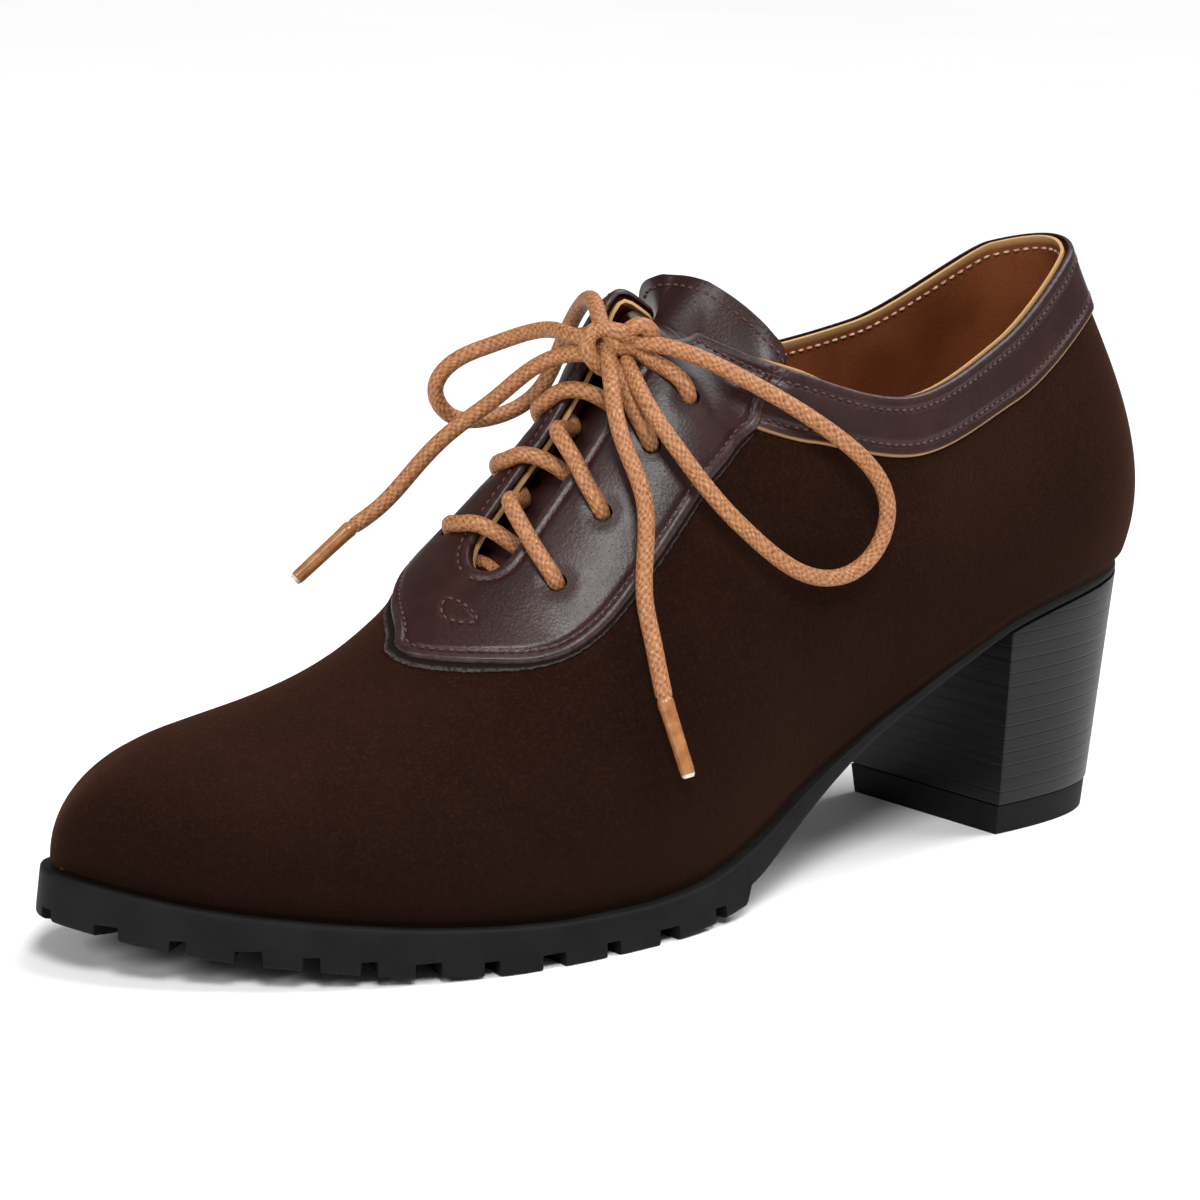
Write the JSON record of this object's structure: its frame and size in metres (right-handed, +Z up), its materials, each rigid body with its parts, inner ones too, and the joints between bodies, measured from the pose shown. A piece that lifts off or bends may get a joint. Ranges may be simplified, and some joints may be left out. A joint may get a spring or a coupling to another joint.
{
  "type": "heeled lace-up oxford shoe",
  "caption": "Low-cut lace-up oxford in dark suede with a leather lace shield and collar band, a lugged forefoot sole, a thin waist and a block heel; stands empty.",
  "frame": {"origin": "middle of the shoe's plan box, on the floor under heel and forefoot", "axes": "toe towards -Y, heel towards +Y, outer (little-toe) side towards +X, +Z up"},
  "size_m": [0.0866, 0.247, 0.1174],
  "materials": {
    "suede": "brown-black suede with a short nap",
    "dark_leather": "dark brown, semi-gloss smooth leather",
    "tan_leather": "tan, matte smooth lining leather",
    "black_rubber": "matte black",
    "heel_stack": "black stacked heel, satin",
    "lace_cord": "caramel waxed round braid",
    "lace_tip": "smooth brown"
  },
  "bodies": {
    "root": {"collar_band": "dark_leather", "eyestay": "dark_leather", "heel_block": "heel_stack", "heel_top_piece": "black_rubber", "insole": "tan_leather", "lace_bar_1": "lace_cord", "lace_bar_2": "lace_cord", "lace_bar_3": "lace_cord", "lace_end_inner": "lace_cord", "lace_end_outer": "lace_cord", "lace_knot": "lace_cord", "lace_lead_inner": "lace_cord", "lace_lead_outer": "lace_cord", "lace_loop_inner": "lace_cord", "lace_loop_outer": "lace_cord", "lace_tip_inner": "lace_tip", "lace_tip_outer": "lace_tip", "outsole": "black_rubber", "tongue": "dark_leather", "upper": "suede"}
  },
  "joints": []
}
